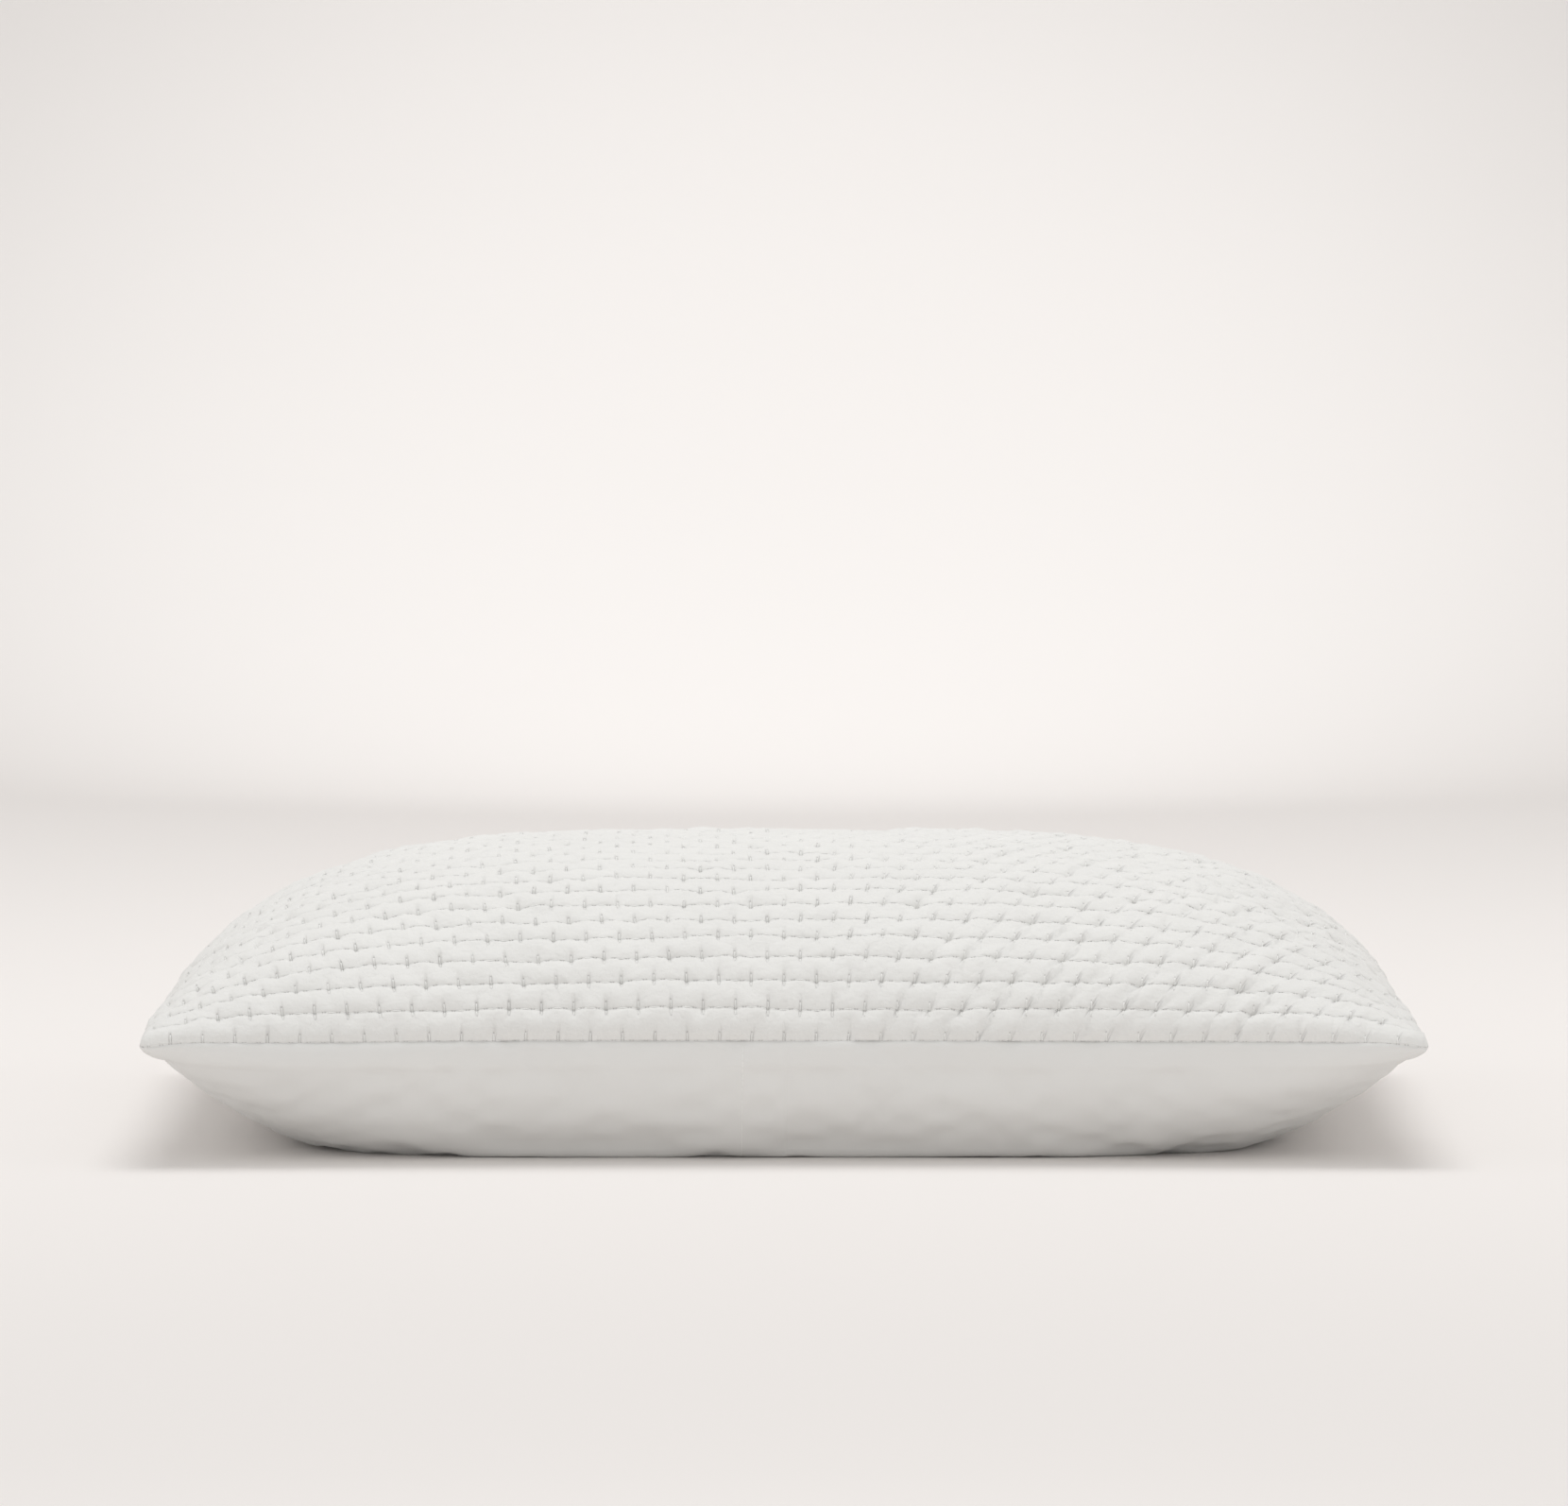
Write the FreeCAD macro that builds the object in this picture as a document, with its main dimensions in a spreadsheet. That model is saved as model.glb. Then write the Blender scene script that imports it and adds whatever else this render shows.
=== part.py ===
import FreeCAD, Part
import math
import os

# A bed pillow: a quilted envelope sham with a piped, fibre-filled insert inside it, lying flat.
# Millimetres. +X runs along the long side, +Y along the short side and +Z up. The origin is the
# centre of the footprint, on the surface that the pillow lies on.
#
# Every layer of cloth lies between two nested pillow-shaped solids, so a sub-part is the space
# between one solid and the next, cut to its own region by boxes.

DIMENSIONS = (
    # alias, value, what it is
    ("tip_half_length", 320.0, "centre to the corner tips along X"),
    ("side_half_length", 316.0, "centre to the middle of a short side, which pulls in"),
    ("tip_half_width", 246.0, "centre to the corner tips along Y"),
    ("side_half_width", 233.0, "centre to the middle of a long side, which pulls in"),
    ("seam_height", 62.0, "height of the perimeter seam above the surface"),
    ("top_rise", 87.0, "crown of the quilted panel above the seam"),
    ("bottom_drop", 80.0, "drop of the back panel below the seam if nothing flattened it"),
    ("seam_band", 2.0, "thickness of the pillow at its knife edge"),
    ("cloth", 0.8, "thickness of one layer of cloth"),
    ("batting", 3.0, "thickness of the quilt batting"),
    ("label_thickness", 0.3, "thickness of a folded care label"),
    ("ring_thread", 1.0, "thickness of the lockstitch that lies inside a seam"),
    ("thread_width", 0.8, "width of a line of stitches"),
    ("quilt_bands", 31.0, "bands of quilting between one long seam and the other"),
    ("hem_edge", 2.0, "X of the outer lap's hem edge"),
    ("hem_width", 23.0, "hem edge to its line of stitches"),
    ("lap_overlap", 120.0, "how far the under lap runs in below the outer lap"),
    ("lap_step", 8.0, "length over which the under lap steps up to its inner level"),
    ("overlock_start", 3.5, "sham seam to the near edge of the overlocking"),
    ("overlock_width", 4.0, "width of the overlocked edge"),
    ("label_width", 30.0, "width of a care label"),
    ("label_length", 36.0, "length of a care label"),
    ("label_inset", 10.0, "sham seam to the near end of its care label"),
    ("sham_label_x", -225.0, "X of the sham's care label, on the rear long side"),
    ("insert_inset", 12.0, "sham seam to insert seam"),
    ("insert_gap", 1.0, "clearance between the sham's inner face and the insert"),
    ("piping_radius", 2.0, "radius of the insert's piping cord"),
    ("piping_corner", 14.0, "radius of the piping at the insert's corners"),
    ("seam_corner", 3.0, "radius of the lockstitch at a corner"),
    ("closing_length", 200.0, "length of the closing stitches on the insert"),
    ("closing_inset", 6.0, "insert seam to the closing stitches"),
    ("space", 900.0, "size of the boxes that bound a region"),
)

# How each surface swells: the power and the fall of its curve along X, then along Y. The underside
# stays full almost to the seam before it turns up.
TOP_SWELL = ((4, 0.75), (2.4, 0.65))
UNDER_SWELL = ((4, 0.75), (3.4, 0.5))
LONG_STEPS = 12
SHORT_STEPS = 10

doc = FreeCAD.newDocument("bed_pillow")
sheet = doc.addObject("Spreadsheet::Sheet", "Dimensions")
sub_parts = []


def fill_sheet():
    for row, (alias, value, meaning) in enumerate(DIMENSIONS, start=1):
        sheet.set(f"A{row}", meaning)
        sheet.set(f"B{row}", str(value))
        sheet.setAlias(f"B{row}", alias)
    doc.recompute()


def size(alias):
    return float(sheet.get(alias))


def node(feature, label):
    """Marks a finished sub-part: its label names its file."""
    feature.Label = label
    sub_parts.append(feature)
    return feature


# ---------------------------------------------------------------- nested pillow solids


def swell(u, v, curves):
    """Distance of the surface from the seam plane, from 1 at the middle to 0 at the seam."""
    height = 1.0
    for place, (power, fall) in zip((u, v), curves):
        height *= max(0.0, 1 - abs(place) ** power) ** fall
    return height


def plan_point(u, v, inset):
    """A place on the plan. The sides pull in between the corner tips, so they are slightly hollow."""
    side_x = size("side_half_length")
    side_y = size("side_half_width")
    x = u * (side_x - inset + (size("tip_half_length") - side_x) * v * v)
    y = v * (side_y - inset + (size("tip_half_width") - side_y) * u * u)
    return x, y


def spread(step, steps):
    """Even steps in angle crowd the points towards the seam, where the surface turns down."""
    return math.sin(math.pi * (step / steps - 0.5))


def panel_surface(inset, rise):
    """The pillow's upper surface, or its lower one when rise is negative."""
    half_band = math.copysign(size("seam_band") / 2, rise)
    curves = TOP_SWELL if rise > 0 else UNDER_SWELL
    rows = []
    for i in range(LONG_STEPS + 1):
        row = []
        for j in range(SHORT_STEPS + 1):
            u = spread(i, LONG_STEPS)
            v = spread(j, SHORT_STEPS)
            x, y = plan_point(u, v, inset)
            z = size("seam_height") + half_band + (rise - half_band) * swell(u, v, curves)
            row.append(FreeCAD.Vector(x, y, z))
        rows.append(row)
    surface = Part.BSplineSurface()
    surface.interpolate(rows)
    return surface.toShape()


def middle(edge):
    return edge.valueAt((edge.FirstParameter + edge.LastParameter) / 2)


def pillow_solid(inset, top_depth, bottom_depth):
    """Closed solid between the two surfaces, with a thin band all round at the seam."""
    top = panel_surface(inset, size("top_rise") - top_depth)
    bottom = panel_surface(inset, bottom_depth - size("bottom_drop"))
    faces = [top, bottom]
    for edge in top.Edges:
        partner = min(bottom.Edges, key=lambda other: (middle(other) - middle(edge)).Length)
        faces.append(Part.makeRuledSurface(edge, partner))
    shell = Part.makeShell([face for piece in faces for face in piece.Faces])
    shell.sewShape()
    solid = Part.Solid(shell)
    if solid.Volume < 0:
        solid.reverse()
    return solid


def box(name, **places):
    """A box whose sizes and position are expressions of the sheet's cells."""
    feature = doc.addObject("Part::Box", name)
    for side in ("Length", "Width", "Height"):
        feature.setExpression(side, places.get(side, "Dimensions.space"))
    for axis in ("x", "y", "z"):
        feature.setExpression(f"Placement.Base.{axis}", places.get(axis, "-Dimensions.space / 2"))
    return feature


def cut(name, base, tool):
    feature = doc.addObject("Part::Cut", name)
    feature.Base = base
    feature.Tool = tool
    return feature


def common(name, base, tool):
    feature = doc.addObject("Part::Common", name)
    feature.Base = base
    feature.Tool = tool
    return feature


def level(name, inset, top_depth, bottom_depth):
    """One of the nested solids, flattened where it rests: inset at the seam, depths elsewhere."""
    swollen = doc.addObject("Part::Feature", f"{name}_swollen")
    swollen.Shape = pillow_solid(inset, top_depth, bottom_depth)
    ground = box(f"{name}_ground", z=f"{bottom_depth} - Dimensions.space")
    return cut(name, swollen, ground)


def make_levels():
    """Every nested solid by name, from the sham's outer face inwards to the fibre."""
    cloth = size("cloth")
    quilt = 2 * cloth + size("batting")
    back = 2 * cloth
    label = size("label_thickness")
    start = quilt + size("insert_gap")
    rest = back + size("insert_gap")
    inset = size("insert_inset")
    batting_edge = 1.25 * cloth  # the batting thins out towards the knife edge
    sunk = 1.5 * cloth  # half way into the under lap
    depths = {
        "outside": (0, 0, 0),
        "thread_depth": (cloth / 2, cloth / 2, cloth / 2),
        "one_cloth": (cloth, cloth, cloth),
        "batting_inside": (batting_edge, quilt - cloth, batting_edge),
        "under_thread_depth": (sunk, quilt - cloth, sunk),
        "sham_inside": (back, quilt, back),
        "sham_label_inside": (back + label, quilt + label, back + label),
        "insert_label_outside": (inset - label, start - label, rest - label),
        "insert_outside": (inset, start, rest),
        "insert_thread_depth": (inset + cloth / 2, start + cloth / 2, rest + cloth / 2),
        "insert_inside": (inset + cloth, start + cloth, rest + cloth),
    }
    return {name: level(name, *values) for name, values in depths.items()}


# ---------------------------------------------------------------- regions


def between(name, outer, inner, region):
    """What lies inside one solid, outside the next one in, and within a region."""
    return cut(name, common(f"{name}_slice", outer, region), inner)


def above_seam(name, **places):
    return box(name, z="Dimensions.seam_height", **places)


def below_seam(name, **places):
    return box(name, z="Dimensions.seam_height - Dimensions.space", **places)


# ---------------------------------------------------------------- outlines


def side_circle(reach, end, rise):
    """Radius of the shallow arc of a pulled-in side, and how far its centre is from the middle."""
    sagitta = rise - reach
    radius = (end * end + sagitta * sagitta) / (2 * sagitta)
    return radius, reach + radius


def outline_wire(inset, corner, height):
    """The pillow's plan, inset: four hollow side arcs joined by tangent corner arcs."""
    side_x = size("side_half_length") - inset
    side_y = size("side_half_width") - inset
    tip_x = size("tip_half_length") - inset
    tip_y = size("tip_half_width") - inset
    long_radius, long_centre = side_circle(side_y, tip_x, tip_y)
    short_radius, short_centre = side_circle(side_x, tip_y, tip_x)

    # The corner arc's centre lies its own radius beyond both side arcs.
    from_long = long_radius + corner
    from_short = short_radius + corner
    apart = math.hypot(long_centre, short_centre)
    along = (from_long**2 - from_short**2 + apart**2) / (2 * apart)
    off = math.sqrt(from_long**2 - along**2)
    toward_x = short_centre / apart
    toward_y = -long_centre / apart
    foot_x = along * toward_x
    foot_y = long_centre + along * toward_y
    options = [(foot_x + s * off * toward_y, foot_y - s * off * toward_x) for s in (1, -1)]
    centre_x, centre_y = min(options, key=lambda place: math.hypot(*place))

    def meet(from_x, from_y, radius):
        """Where the side arc about this centre touches the corner arc."""
        share = radius / (radius + corner)
        return from_x + (centre_x - from_x) * share, from_y + (centre_y - from_y) * share

    on_long = meet(0, long_centre, long_radius)
    on_short = meet(short_centre, 0, short_radius)
    stretch = 1 + corner / math.hypot(centre_x, centre_y)
    bend = (centre_x * stretch, centre_y * stretch)

    def place(point, sign_x, sign_y):
        return FreeCAD.Vector(sign_x * point[0], sign_y * point[1], height)

    edges = []
    for sign_x, sign_y in ((1, 1), (-1, 1), (-1, -1), (1, -1)):
        ends = [place(on_short, sign_x, sign_y), place(on_long, sign_x, sign_y)]
        if sign_x * sign_y > 0:
            side_middle = place((0, side_y), sign_x, sign_y)
            side_end = place(on_long, -sign_x, sign_y)
        else:
            ends.reverse()
            side_middle = place((side_x, 0), sign_x, sign_y)
            side_end = place(on_short, sign_x, -sign_y)
        edges.append(Part.Arc(ends[0], place(bend, sign_x, sign_y), ends[1]).toShape())
        edges.append(Part.Arc(ends[1], side_middle, side_end).toShape())
    return Part.Wire(edges)


def flat_ring(name, inset, width, height):
    """A flat ring that follows the outline at the height of the seam."""
    corner = size("seam_corner")
    base = size("seam_height") - size(height) / 2
    wires = [outline_wire(inset, corner, base), outline_wire(inset + width, corner, base)]
    face = doc.addObject("Part::Feature", f"{name}_face")
    face.Shape = Part.makeFace(wires, "Part::FaceMakerBullseye")
    ring = doc.addObject("Part::Extrusion", name)
    ring.Base = face
    ring.DirMode = "Custom"
    ring.Dir = FreeCAD.Vector(0, 0, 1)
    ring.Solid = True
    ring.setExpression("LengthFwd", f"Dimensions.{height}")
    return ring


# ---------------------------------------------------------------- the sham


def quilting_slabs():
    """One thin upright slab for each row of quilting, evenly spaced over the cloth's curve."""
    slabs = []
    for row in range(1, int(size("quilt_bands"))):
        turn = f"({row} / Dimensions.quilt_bands - 0.5) * 180 deg"
        from_centre = f"Dimensions.side_half_width * sin({turn})"
        place = f"{from_centre} - Dimensions.thread_width / 2"
        slabs.append(above_seam(f"quilting_slab_{row}", Width="Dimensions.thread_width", y=place))
    together = doc.addObject("Part::Compound", "quilting_slabs")
    together.Links = slabs
    return together


def make_quilted_panel(levels):
    """Face cloth, batting and lining, with the rows of stitches sunk into the face."""
    upper = above_seam("quilt_region")
    outside = levels["outside"]
    rows = between("quilting_rows", outside, levels["thread_depth"], quilting_slabs())
    face = between("face", outside, levels["one_cloth"], upper)
    batting = between("batting", levels["one_cloth"], levels["batting_inside"], upper)
    lining = between("lining", levels["batting_inside"], levels["sham_inside"], upper)
    node(rows, "quilting_thread_rows")
    node(cut("face_stitched", face, rows), "quilt_face_panel")
    node(batting, "quilt_batting")
    node(lining, "quilt_lining")


def hem_line(name, place):
    """A thin upright slab across the pillow, for a line of stitches on the back."""
    return below_seam(name, Length="Dimensions.thread_width", x=place)


def make_outer_lap(levels):
    """The back panel that ends in a hem across the middle, with its stitches sunk in."""
    region = below_seam("outer_lap_region", x="Dimensions.hem_edge - Dimensions.space")
    line = hem_line("outer_hem_line", "Dimensions.hem_edge - Dimensions.hem_width")
    lap = between("outer_lap", levels["outside"], levels["one_cloth"], region)
    thread = between("outer_hem_thread", levels["outside"], levels["thread_depth"], line)
    node(cut("outer_lap_stitched", lap, thread), "back_panel_outer_lap")
    node(thread, "outer_lap_hem_thread")


def make_under_lap(levels):
    """The other back panel: it steps up and runs on inside, under the outer lap."""
    hem_edge = "Dimensions.hem_edge - Dimensions.lap_overlap"
    beyond = below_seam("under_lap_region", x="Dimensions.hem_edge")
    length = "Dimensions.lap_overlap + Dimensions.lap_step"
    inner_region = below_seam("under_lap_inner_region", Length=length, x=hem_edge)
    line = hem_line("under_hem_line", f"{hem_edge} + Dimensions.hem_width")
    inside = levels["sham_inside"]
    lap = doc.addObject("Part::MultiFuse", "under_lap")
    lap.Shapes = [
        between("under_lap_outside", levels["outside"], levels["one_cloth"], beyond),
        between("under_lap_inside", levels["one_cloth"], inside, inner_region),
    ]
    thread = between("under_hem_thread", levels["under_thread_depth"], inside, line)
    node(cut("under_lap_stitched", lap, thread), "back_panel_under_lap")
    node(thread, "under_lap_hem_thread")


def make_sham_seam(levels):
    """The lockstitch just inside the seam, the overlocked edges of the seam allowance, the label."""
    back = 2 * size("cloth")
    thread = flat_ring("seam_thread", back, size("ring_thread"), "ring_thread")
    overlock = flat_ring("overlock", size("overlock_start"), size("overlock_width"), "cloth")
    label_region = below_seam(
        "sham_label_region",
        Length="Dimensions.label_width",
        Width="Dimensions.label_length",
        x="Dimensions.sham_label_x - Dimensions.label_width / 2",
        y="Dimensions.side_half_width - Dimensions.label_inset - Dimensions.label_length",
    )
    label = between(
        "sham_label", levels["sham_inside"], levels["sham_label_inside"], label_region
    )
    node(thread, "perimeter_seam_thread")
    node(overlock, "seam_overlock_thread")
    node(label, "sham_care_label")


# ---------------------------------------------------------------- the insert


def make_ticking(levels):
    """Two panels of ticking, one above the insert's seam and one below, closed at one end."""
    outside = levels["insert_outside"]
    inside = levels["insert_inside"]
    end = "Dimensions.side_half_length - Dimensions.insert_inset - Dimensions.closing_inset"
    closing_region = above_seam(
        "closing_region",
        Length="Dimensions.thread_width",
        Width="Dimensions.closing_length",
        x=end,
        y="-Dimensions.closing_length / 2",
    )
    closing = between("closing_thread", outside, levels["insert_thread_depth"], closing_region)
    top = between("ticking_upper", outside, inside, above_seam("ticking_top_region"))
    bottom = between("ticking_lower", outside, inside, below_seam("ticking_bottom_region"))
    node(cut("ticking_upper_stitched", top, closing), "ticking_top")
    node(bottom, "ticking_bottom")
    node(closing, "insert_closing_thread")


def make_insert_inside(levels):
    """The fibre, the stitches inside the insert's seam and the insert's label."""
    thread = flat_ring(
        "insert_thread", size("insert_inset") + size("cloth"), size("ring_thread"), "ring_thread"
    )
    near = "Dimensions.side_half_length - Dimensions.insert_inset - Dimensions.seam_band"
    label_region = below_seam(
        "insert_label_region",
        Length="Dimensions.label_length",
        Width="Dimensions.label_width",
        x=f"{near} - Dimensions.label_length",
        y="-Dimensions.label_width / 2",
    )
    label = between(
        "insert_label", levels["insert_label_outside"], levels["insert_outside"], label_region
    )
    node(thread, "insert_seam_thread")
    node(cut("fibre", levels["insert_inside"], thread), "fibre_fill")
    node(label, "insert_care_label")


def make_piping():
    """The cord that edges the insert, swept round its seam."""
    inset = size("insert_inset") - size("piping_radius")
    path = doc.addObject("Part::Feature", "piping_path")
    path.Shape = outline_wire(inset, size("piping_corner"), size("seam_height"))
    first = path.Shape.Edges[0]
    start = first.valueAt(first.FirstParameter)
    heading = first.tangentAt(first.FirstParameter)
    section = doc.addObject("Part::Circle", "piping_section")
    section.setExpression("Radius", "Dimensions.piping_radius")
    section.Placement = FreeCAD.Placement(start, FreeCAD.Rotation(FreeCAD.Vector(0, 0, 1), heading))
    piping = doc.addObject("Part::Sweep", "piping")
    piping.Sections = [section]
    piping.Spine = (path, [])
    piping.Solid = True
    piping.Frenet = False
    node(piping, "insert_piping_cord")


# ---------------------------------------------------------------- writing


def check_document():
    """Stops if any object failed, because a recompute can fail without raising."""
    for feature in doc.Objects:
        if "Invalid" in feature.State or "Error" in feature.State:
            raise RuntimeError(f"{feature.Name} failed: {feature.State}")
    for feature in sub_parts:
        shape = feature.Shape
        if shape.isNull() or not shape.isValid() or not shape.Solids:
            raise RuntimeError(f"{feature.Label} has no valid solid")


def write_sub_parts():
    os.makedirs("parts", exist_ok=True)
    for feature in sub_parts:
        shape = feature.Shape
        shape.exportStep(f"parts/{feature.Label}.step")
        print(f"{feature.Label}: {len(shape.Solids)} solid(s), {shape.Volume / 1000:.1f} cm3")


fill_sheet()
nested = make_levels()
make_quilted_panel(nested)
make_outer_lap(nested)
make_under_lap(nested)
make_sham_seam(nested)
make_ticking(nested)
make_insert_inside(nested)
make_piping()
doc.recompute()
check_document()
write_sub_parts()
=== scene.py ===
import math

import bpy
import numpy as np
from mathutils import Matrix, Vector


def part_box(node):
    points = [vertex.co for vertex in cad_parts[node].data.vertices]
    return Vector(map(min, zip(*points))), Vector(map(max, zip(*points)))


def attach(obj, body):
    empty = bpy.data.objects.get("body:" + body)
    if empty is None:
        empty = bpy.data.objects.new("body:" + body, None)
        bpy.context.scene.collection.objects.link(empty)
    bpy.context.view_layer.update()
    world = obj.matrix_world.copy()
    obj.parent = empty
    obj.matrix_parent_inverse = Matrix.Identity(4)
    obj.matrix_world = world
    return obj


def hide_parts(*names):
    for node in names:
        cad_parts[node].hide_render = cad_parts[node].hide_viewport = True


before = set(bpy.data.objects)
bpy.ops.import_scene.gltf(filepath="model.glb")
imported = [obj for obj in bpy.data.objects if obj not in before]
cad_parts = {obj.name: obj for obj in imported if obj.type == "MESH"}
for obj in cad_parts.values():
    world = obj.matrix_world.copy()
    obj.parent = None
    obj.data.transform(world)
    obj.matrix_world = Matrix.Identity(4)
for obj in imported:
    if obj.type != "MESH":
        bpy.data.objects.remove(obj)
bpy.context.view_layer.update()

# A bed pillow in a quilted sham, in metres. Each sheet of cloth is a grid over its flat cut: s runs
# along the long side and t along the short side, both from the middle. A cloth simulation inflates
# the two panels of the sham, and everything else is laid on or inside the shape that it gives.

# ------------ sizes

FLAT_LENGTH = 0.660
FLAT_WIDTH = 0.508
HALF_LENGTH = FLAT_LENGTH / 2
HALF_WIDTH = FLAT_WIDTH / 2
TICKS = 40  # cross stitches along one row
BANDS = 31  # bands of quilting between the long seams
TICK_PITCH = FLAT_LENGTH / TICKS
ROW_PITCH = FLAT_WIDTH / BANDS

FACE_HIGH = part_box("quilt_face_panel")[1]
SEAM_LOW, SEAM_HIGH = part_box("perimeter_seam_thread")
SEAM_Z = (SEAM_LOW.z + SEAM_HIGH.z) / 2
CROWN_Z = FACE_HIGH.z
TIP_X = FACE_HIGH.x
TIP_Y = FACE_HIGH.y
SIDE_X = 0.316  # the sides pull in between the corner tips
SIDE_Y = 0.233
HEM_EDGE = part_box("back_panel_outer_lap")[1].x
UNDER_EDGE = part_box("back_panel_under_lap")[0].x
HEM_WIDTH = 0.023
INSERT_INSET = TIP_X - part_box("ticking_top")[1].x
INSERT_DRAW = 0.009  # how far the insert's seam is drawn in from the cloth round it

# How each panel swells with filling: the power and the fall of its curve along X, then along Y.
TOP_SWELL = ((4, 0.75), (2.4, 0.65))
UNDER_SWELL = ((4, 0.75), (4.2, 0.5))
UNDER_DROP = 0.080

SIM_CELLS = (80, 62)
SIM_FRAMES = 30
SIM_VOLUME = 0.0300
FILL_SUPPORT = 0.3

CORNER_RADIUS = 0.008
NUB_RISE = 0.0026
NUB_PLACE = 0.009  # from the corner tip
NUB_ROUNDING = 0.0045
TIP_DROOP = 0.0025
CROSS_REACH = 0.0022  # from the middle of a cross to the middles of its stitches
CLOTH = 0.0003  # thickness of the back panels, the ticking and the labels
QUILTING_THREAD = 0.00030  # radii of the threads
SEAM_THREAD = 0.00018
HEM_THREAD = 0.00020
OVERLOCK_THREAD = 0.00022
INSERT_THREAD = 0.00025
SEAM_STITCH = 0.00115  # half lengths of the stitches
HEM_STITCH = 0.00125
STITCH_PITCH = 0.0031
STITCH = np.linspace(-1, 1, 4)  # places along one stitch
UP = np.array([0.0, 0.0, 1.0])

BATTING_FRONT = 0.0013  # depths below the quilt face's sheet
BATTING_BACK = 0.0032
BATTING_PUFF = 0.0004
LINING_GAP = 0.0003
LINING = 0.0002

INSERT_CORNER = 0.016
INSERT_GRID = (133, 103)
INSERT_GAPS = (0.0050, 0.0035)  # distances from the sham's panels, top and bottom
FIBRE_GAPS = (0.0068, 0.0050)
PIPING_RADIUS = 0.0020


# ------------ small helpers


def smoothstep(low, high, value):
    x = np.clip((value - low) / (high - low), 0, 1)
    return x * x * (3 - 2 * x)


def flat_grid(s, t):
    """Every pair of two rows of coordinates, as two arrays whose first axis runs along s."""
    return np.meshgrid(s, t, indexing="ij")


def noise(x, y, cell_x, cell_y, seed):
    """Smooth noise from about -1 to 1 whose bumps are cell_x by cell_y across."""
    lattice = np.random.default_rng(seed).uniform(-1, 1, (257, 257))
    u = x / cell_x + 100.5
    v = y / cell_y + 100.5
    i = np.floor(u).astype(int)
    j = np.floor(v).astype(int)
    fu = smoothstep(0, 1, u - i)
    fv = smoothstep(0, 1, v - j)
    i %= 256
    j %= 256
    low = lattice[i, j] * (1 - fu) + lattice[i + 1, j] * fu
    high = lattice[i, j + 1] * (1 - fu) + lattice[i + 1, j + 1] * fu
    return 1.4 * (low * (1 - fv) + high * fv)


def cubic_blend(f):
    """Shares of four neighbouring points in a smooth curve through them."""
    return (
        -0.5 * f + f * f - 0.5 * f**3,
        1 - 2.5 * f * f + 1.5 * f**3,
        0.5 * f + 2 * f * f - 1.5 * f**3,
        -0.5 * f * f + 0.5 * f**3,
    )


def extend_grid(grid):
    """Adds a straight row beyond each side of a grid."""
    for axis in (0, 1):
        first = 2 * grid.take([0], axis) - grid.take([1], axis)
        last = 2 * grid.take([-1], axis) - grid.take([-2], axis)
        grid = np.concatenate([first, grid, last], axis)
    return grid


def read_grid(grid, s, t):
    """Smooth reading of an extended grid at flat coordinates."""
    cells_s, cells_t = grid.shape[0] - 3, grid.shape[1] - 3
    place_s = (s / FLAT_LENGTH + 0.5) * cells_s
    place_t = (t / FLAT_WIDTH + 0.5) * cells_t
    i = np.clip(np.floor(place_s).astype(int), 0, cells_s - 1)
    j = np.clip(np.floor(place_t).astype(int), 0, cells_t - 1)
    points = 0
    for a, share_a in enumerate(cubic_blend(place_s - i)):
        for b, share_b in enumerate(cubic_blend(place_t - j)):
            points = points + (share_a * share_b)[..., None] * grid[i + a, j + b]
    return points


def grid_normals(points, outward):
    """Unit normals of a grid of points; outward is 1 for an upper sheet and -1 for a lower one."""
    normal = np.cross(np.gradient(points, axis=0), np.gradient(points, axis=1))
    length = np.linalg.norm(normal, axis=2, keepdims=True)
    return outward * normal / np.maximum(length, 1e-12)


def grid_faces(ids, flip):
    quads = np.stack([ids[:-1, :-1], ids[1:, :-1], ids[1:, 1:], ids[:-1, 1:]], -1).reshape(-1, 4)
    return quads[:, ::-1] if flip else quads


def new_mesh(name, points, faces):
    mesh = bpy.data.meshes.new(name)
    mesh.from_pydata(points, [], faces)
    return mesh


def add_object(name, data):
    """Puts a new object in the scene."""
    thing = bpy.data.objects.new(name, data)
    bpy.context.scene.collection.objects.link(thing)
    return thing


def add_piece(name, mesh, slot, nodes):
    """Puts a smooth mesh in the scene as a piece that rides on the pillow's only body."""
    mesh.polygons.foreach_set("use_smooth", [True] * len(mesh.polygons))
    mesh.update()
    piece = add_object(name, mesh)
    piece.data.materials.append(MATERIALS[slot])
    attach(piece, "root")
    if nodes:
        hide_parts(*nodes)
    return piece


def make_piece(name, points, faces, slot, nodes=(), flat=None):
    """A piece whose faces all have as many corners. flat gives its cloth coordinates."""
    mesh = new_mesh(name, points.reshape(-1, 3).tolist(), faces.tolist())
    mesh.validate()
    if flat is not None:
        layer = mesh.uv_layers.new(name="cloth")
        corners = np.zeros(len(mesh.loops), int)
        mesh.loops.foreach_get("vertex_index", corners)
        layer.data.foreach_set("uv", flat.reshape(-1, 2)[corners].ravel())
    return add_piece(name, mesh, slot, nodes)


# ------------ the simulated shape


def swell(u, v, curves):
    """Distance of a panel from the seam's level, from 1 at the middle to 0 at the seam."""
    distance = 1.0
    for place, (power, fall) in zip((u, v), curves):
        distance = distance * np.maximum(0, 1 - np.abs(place) ** power) ** fall
    return distance


def filled_shape(u, v, upper):
    """A panel of the filled pillow, u and v running from -1 to 1 along X and Y."""
    x = u * (SIDE_X + (TIP_X - SIDE_X) * v * v)
    y = v * (SIDE_Y + (TIP_Y - SIDE_Y) * u * u)
    if upper:
        z = SEAM_Z + (CROWN_Z - SEAM_Z) * swell(u, v, TOP_SWELL)
    else:
        z = np.maximum(0.003, SEAM_Z - UNDER_DROP * swell(u, v, UNDER_SWELL))
    return np.stack([x, y, z], -1)


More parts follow.
